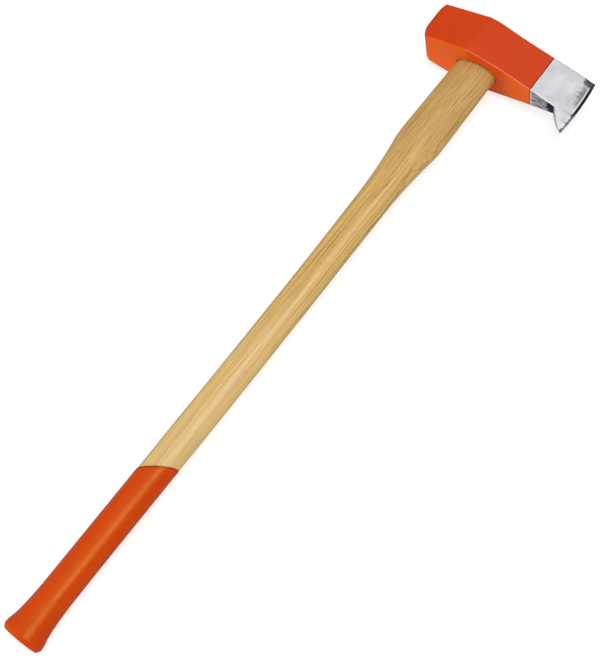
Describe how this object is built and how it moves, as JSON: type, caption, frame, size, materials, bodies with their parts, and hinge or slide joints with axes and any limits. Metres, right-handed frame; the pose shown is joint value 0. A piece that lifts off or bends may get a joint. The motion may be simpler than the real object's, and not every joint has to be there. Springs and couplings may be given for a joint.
{
  "type": "splitting maul",
  "caption": "Long-handled splitting maul: a wedge-shaped forged head with a ground bit and square poll, on an oval wooden handle with a dipped grip coat.",
  "frame": {"origin": "under the middle of the whole maul's box, on the level the head's lower cheek line rests on", "axes": "+X along the handle from butt to head, +Y to the poll, -Y to the cutting edge, +Z out of the upper cheek"},
  "size_m": [0.85, 0.2092, 0.061],
  "materials": {
    "head_paint": "satin orange-red powder paint; the front 56 mm of the same forging is ground bare and lacquered",
    "handle_wood": "pale straight-grained hickory under thin clear varnish",
    "wedge_wood": "plain hardwood, sawn flush with the tenon",
    "wedge_steel": "plain steel ring",
    "grip_coat": "glossy orange dip coat"
  },
  "bodies": {
    "root": {"head": "head_paint", "handle": "handle_wood", "eye_wedge": "wedge_wood", "ring_wedge": "wedge_steel", "grip_coat": "grip_coat"}
  },
  "joints": []
}
